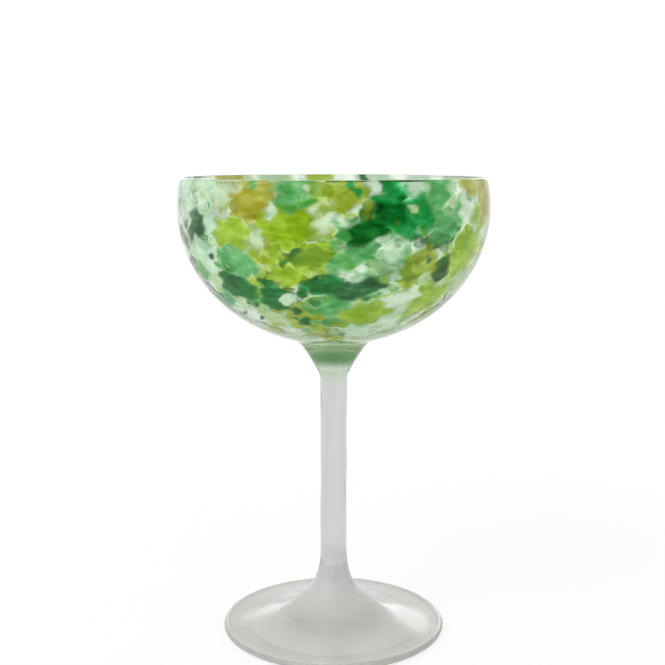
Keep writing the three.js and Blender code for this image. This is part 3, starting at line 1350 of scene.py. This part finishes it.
@dataclass
class Stem:
    """The drawn rod, flared into the foot's hub and into the bowl's funnel.

    Attributes:
        bottom: The height of the face on the foot.
        top: The height of the face under the bowl.
        hub_radius: The radius at the foot's hub.
        rod_radius: The radius of the rod.
        seat_radius: The radius at the bowl's seat.
        flare: How far up the flare at the foot reaches.
        neck: How far down the flare under the bowl reaches.
        neck_slope: How much the rod widens at the seat, for each metre up.
        line_depth: How deep the draw lines are.
        line_count: How many draw lines run up the rod.
        faint_count: How many fainter ones run up it.
        faint_depth: How deep those are, as a share.
        faint_phase: Where those start, in radians.
        twist: How far the lines turn on their way up, in turns.
        swells: The slow waves along the rod.
        held_in: How many line depths the rod is held in, so that it stays inside the CAD box.
        easing: How fast the lines come in from the two ends.
        turns: Points round the axis.
        rows: Rows up the rod.
        stain_run: How far down the bowl's stain reaches.
        pale_run: The heights above the bottom between which the glass is painted paler, from the top:
            painted light over a dark band that refraction leaves there.
    """

    bottom: float
    top: float
    hub_radius: float = 9 * MM
    rod_radius: float = 4.4 * MM
    seat_radius: float = 5.6 * MM
    flare: float = 15 * MM
    neck: float = 4 * MM
    neck_slope: float = 0.6
    line_depth: float = 0.03 * MM
    line_count: int = 11
    faint_count: int = 7
    faint_depth: float = 0.7
    faint_phase: float = 1.0
    twist: float = 0.2
    swells: tuple[Wave, ...] = (Wave(0, 9.0, 0.4, size=1.5), Wave(0, 23.0))
    held_in: float = 4.0
    easing: float = 8.0
    turns: int = 160
    rows: int = 190
    stain_run: float = 7 * MM
    pale_run: Span = (18 * MM, 8 * MM)

    @classmethod
    def on_frame(cls) -> "Stem":
        """The stem at the CAD stem's heights."""
        low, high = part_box("stem")
        return cls(bottom=low.z, top=high.z)

    def profile(self) -> np.ndarray:
        """The rod's profile from the hub to the seat.

        Returns:
            The (radius, height) points, one a row.
        """
        flare = self.hub_radius - self.rod_radius
        neck = self.top - (self.seat_radius - self.rod_radius) / self.neck_slope
        foot_end = bezier(
            [
                (self.hub_radius, self.bottom),
                (self.rod_radius, self.bottom + flare),
                (self.rod_radius, self.bottom + self.flare),
            ],
            self.rows,
        )
        bowl_end = bezier(
            [
                (self.rod_radius, self.top - self.neck),
                (self.rod_radius, neck),
                (self.seat_radius, self.top),
            ],
            self.rows,
        )
        return evenly(np.vstack([foot_end, bowl_end]), self.rows)

    def build(self) -> bpy.types.Mesh:
        """Builds the stem, with its draw lines.

        Returns:
            The mesh.
        """
        bearings = circle(self.turns)
        share = np.linspace(0.0, 1.0, self.rows)[:, None]
        free = np.clip(self.easing * share * (1 - share), 0.0, 1.0)
        turned = bearings + 2 * math.pi * self.twist * share
        faint = self.faint_depth * np.cos(self.faint_count * turned + self.faint_phase)
        lines = np.cos(self.line_count * turned) + faint
        shift = free * self.line_depth * (lines + swell(self.swells, bearings, share) - self.held_in)
        surface = Turning(
            turn(self.profile(), bearings, shift),
            np.append(np.full(self.rows - 1, Skin.OUTSIDE), Skin.JOINT),
            first_pole=self.bottom,
            last_pole=self.top,
            first_skin=Skin.JOINT,
        )
        return surface.mesh("drawn_stem")

    def dress(self, mesh: bpy.types.Mesh) -> None:
        """Gives the stem its finish and puts it in place of the CAD stem.

        Args:
            mesh: The stem's mesh.
        """
        # The stem's grey tint and its darker draw-line colour are painted shade, standing in for darker
        # surroundings seen through the glass.
        clear = ClearGlass(
            "stem_glass",
            tint_and_shade=(0.65, 0.665, 0.64),
            drawn=(0.58, 0.6, 0.575),
            waves=(420.0, 420.0, 16.0),
            ior=1.25,
        )
        # The pale flare is painted light: it lightens the dark band that refraction leaves at the stem's
        # foot.
        glass = StemGlass(
            "stem_stain_and_painted_light",
            clear=clear,
            stain=(0.8, 0.94, 0.76),
            stained=(self.top - self.stain_run, self.top),
            pale=(1.13, 1.12, 1.14),
            flared=(self.bottom + self.pale_run[0], self.bottom + self.pale_run[1]),
            body=0.55,
        ).material()
        add_piece(mesh, [glass, glass, FusedJoint().material()], ["stem"])


@dataclass
class Foot:
    """The round foot: a disc on a flat ring, hollow under the middle and raised to a hub.

    Attributes:
        top: The height of the face under the stem.
        radius: The outside radius.
        edge: The thickness of the edge.
        ring_width: The width of the flat ring that it stands on.
        kick: How far the middle is hollow.
        hub_radius: The radius of the face under the stem.
        inset: How far the edge is held in, so that its wander stays inside the CAD box.
        wobble: How far the upper side wanders from a true round.
        lobes: The waves in which it wanders.
        ring_depth: How deep the rings left by the turning are.
        ring_pitch: Metres for each radian of a ring.
        ring_drift: How far the rings lie off the axis, in radians of a ring.
        turns: Points round the axis.
        rows: Rows from under the middle to the hub.
        lightened_edge: How far in from the outside the milkier edge begins, and is full; it lightens a
            dark line that refraction leaves there: painted light.
        cloudy_hub: The radii between which the cloudy hub comes in, from the outside; it lightens dark
            rings that refraction leaves there: painted light.
    """

    top: float
    radius: float
    edge: float = 2.4 * MM
    ring_width: float = 8 * MM
    kick: float = 2.6 * MM
    hub_radius: float = 9 * MM
    inset: float = 0.2 * MM
    wobble: float = 0.08 * MM
    lobes: tuple[Wave, ...] = (Wave(2, phase=1.1), Wave(3))
    ring_depth: float = 0.015 * MM
    ring_pitch: float = 1.9 * MM
    ring_drift: float = 0.6
    turns: int = 256
    rows: int = 150
    lightened_edge: Span = (3 * MM, 0.6 * MM)
    cloudy_hub: Span = (24 * MM, 9 * MM)

    @classmethod
    def on_frame(cls) -> "Foot":
        """The foot at the CAD foot's height and radius."""
        low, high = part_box("foot")
        return cls(top=high.z, radius=(high.y - low.y) / 2)

    def profile(self) -> np.ndarray:
        """The foot's profile from under its middle, round the edge and up to the hub.

        Returns:
            The (radius, height) points, one a row.
        """
        half = self.edge / 2
        outer = self.radius - half
        inner = outer - self.ring_width
        under = bezier([(0.0, self.kick), (inner / 2, self.kick), (inner, 0.0)], self.rows)
        angles = np.linspace(-math.pi / 2, math.pi / 2, self.rows)
        edge = np.stack([outer + half * np.cos(angles), half + half * np.sin(angles)], axis=-1)
        rise = (self.top - self.edge) / 2
        slope = (outer - self.hub_radius) / 2
        upper = bezier(
            [
                (outer, self.edge),
                (outer - slope, self.edge + rise / 4),
                (self.hub_radius + rise, self.top - rise),
                (self.hub_radius, self.top),
            ],
            self.rows,
        )
        return evenly(np.vstack([under, edge, upper[1:]]), self.rows + 1)[1:]

    def build(self) -> bpy.types.Mesh:
        """Builds the foot, with its slow wander and turning rings.

        Returns:
            The mesh.
        """
        bearings = circle(self.turns)
        profile = self.profile()
        radius, height = profile[:, :1], profile[:, 1:]
        settling = self.radius / 3
        outness = np.clip((radius - self.hub_radius) / settling, 0.0, 1.0)
        upper = np.clip((height - self.edge / 2) / (self.edge / 2), 0.0, 1.0)
        wander = self.wobble * swell(self.lobes, bearings, radius)
        rings = self.ring_depth * np.sin(radius / self.ring_pitch + self.ring_drift * np.sin(bearings))
        surface = Turning(
            turn(profile, bearings, outness * upper * (wander + rings - self.inset)),
            np.append(np.full(self.rows - 1, Skin.OUTSIDE), Skin.JOINT),
            first_pole=self.kick,
            last_pole=self.top,
        )
        return surface.mesh("blown_foot")

    def dress(self, mesh: bpy.types.Mesh) -> None:
        """Gives the foot its finish and puts it in place of the CAD foot.

        Args:
            mesh: The foot's mesh.
        """
        # The foot's grey tint and its darker draw-line colour are painted shade, standing in for darker
        # surroundings seen through the glass.
        clear = ClearGlass(
            "foot_glass",
            tint_and_shade=(0.69, 0.7, 0.675),
            drawn=(0.63, 0.645, 0.615),
            waves=(60.0, 60.0, 60.0),
            polish=0.15,
            ior=1.25,
        )
        # The milkier edge and hub are painted light: they lighten dark lines that refraction leaves there.
        glass = FootGlass(
            "foot_with_painted_light",
            clear=clear,
            body=0.85,
            lightening_body=0.55,
            edge=(self.radius - self.lightened_edge[0], self.radius - self.lightened_edge[1]),
            hub=self.cloudy_hub,
        ).material()
        add_piece(mesh, [glass, glass, FusedJoint().material()], ["foot"])


@dataclass(frozen=True)
class Softbox:
    """A soft rectangular lamp.

    Attributes:
        name: The lamp's name.
        at: Where it hangs.
        size: Its width and height.
        power: Its power in watts.
    """

    name: str
    at: Vector
    size: tuple[float, float]
    power: float

    def hang(self, target: Vector) -> None:
        """Hangs the lamp, turned towards a point.

        Args:
            target: The point.
        """
        lamp = bpy.data.lights.new(self.name, "AREA")
        lamp.shape = "RECTANGLE"
        lamp.size, lamp.size_y = self.size
        lamp.energy = self.power
        holder = bpy.data.objects.new(self.name, lamp)
        holder.location = self.at
        way = np.array(target) - np.array(self.at)
        flat = math.hypot(way[0], way[1])
        holder.rotation_euler = (math.atan2(flat, -way[2]), 0.0, math.atan2(-way[0], way[1]))
        holder.visible_camera = False
        holder.visible_transmission = False
        bpy.context.scene.collection.objects.link(holder)


@dataclass
class Studio:
    """The white floor, the soft light and the camera.

    Attributes:
        away: How far the camera stands from the glass's axis.
        height: The camera's height.
        aside: How far the camera stands to the right.
        tilt: How far it looks down.
        lens: Its focal length in millimetres.
        sensor: The width of its sensor in millimetres.
        ambient: The light that comes from all round.
        room: How bright the room behind the camera looks in a reflection.
        room_side: How far round to the sides the room fades out, as the sine of a bearing.
        floor_size: How far the floor reaches behind the glass and to its sides.
        floor_front: How far it reaches towards the camera.
        floor_drop: How far it lies below the foot.
        aim: What the lamps are turned towards.
        lamps: The lamps.
    """

    away: float = 0.36272
    height: float = 0.15697
    aside: float = -0.00035
    tilt: float = math.radians(8.983)
    lens: float = 61.16
    sensor: float = 36.0
    ambient: float = 0.9
    room: float = 0.1
    room_side: float = 0.25
    floor_size: float = 4.0
    floor_front: float = 0.3
    floor_drop: float = 0.2 * MM
    aim: Vector = (0.0, 0.0, 0.08)
    lamps: tuple[Softbox, ...] = (
        Softbox("key", at=(-0.7, -0.6, 0.9), size=(0.5, 0.7), power=4.5),
        Softbox("back_panel", at=(0.3, 0.95, 0.34), size=(0.14, 0.34), power=0.6),
        Softbox("side_panel", at=(-0.32, 0.95, 0.3), size=(0.16, 0.26), power=0.3),
    )

    def lay_floor(self) -> None:
        """Lays the floor, which isn't part of the object."""
        half = self.floor_size
        corners = [(-half, -self.floor_front), (half, -self.floor_front), (half, half), (-half, half)]
        mesh = bpy.data.meshes.new("studio_floor")
        mesh.from_pydata([(x, y, -self.floor_drop) for x, y in corners], [], [(0, 1, 2, 3)])
        mesh.materials.append(WhiteFloor().material())
        floor = bpy.data.objects.new("studio_floor", mesh)
        bpy.context.scene.collection.objects.link(floor)

    def light(self) -> None:
        """Sets the light from all round and hangs the lamps."""
        world = bpy.data.worlds.new("studio")
        world.use_nodes = True
        graph = Graph(world.node_tree)
        white = graph.white_light("ShaderNodeBackground", 1.0)
        soft = graph.white_light("ShaderNodeBackground", self.ambient)
        dim = graph.white_light("ShaderNodeBackground", self.room)
        seen = graph.mix_shaders(backdrop_rays(graph), soft, white)

        # A ray that passes glass counts as glossy too, but only a mirrored one sees the dim room.
        path = graph.add("ShaderNodeLightPath", output=Ray.GLOSSY.value)
        mirrored = path * (1 - path.other(Ray.TRANSMISSION.value))
        way = graph.coordinate(graph.add("ShaderNodeTexCoord"), "Y")
        front = mirrored * graph.rise(way, self.room_side, -self.room_side)
        graph.end("ShaderNodeOutputWorld", graph.mix_shaders(front, seen, dim))
        bpy.context.scene.world = world
        for lamp in self.lamps:
            lamp.hang(self.aim)

    def set_camera(self) -> None:
        """Stands the camera where the photograph was taken from."""
        eye = bpy.data.cameras.new("camera")
        eye.lens = self.lens
        eye.sensor_width = self.sensor
        camera = bpy.data.objects.new("camera", eye)
        camera.location = (self.aside, -self.away, self.height)
        camera.rotation_euler = (math.pi / 2 - self.tilt, 0.0, 0.0)
        bpy.context.scene.collection.objects.link(camera)
        bpy.context.scene.camera = camera
        bpy.context.scene.view_settings.view_transform = "Standard"


def main() -> None:
    """Builds the studio and the glass."""
    logging.basicConfig(level=logging.INFO)
    studio = Studio()
    studio.set_camera()
    studio.lay_floor()
    studio.light()
    for part in (Bowl.on_frame(), Stem.on_frame(), Foot.on_frame()):
        part.dress(part.build())


if __name__ == "__main__":
    main()
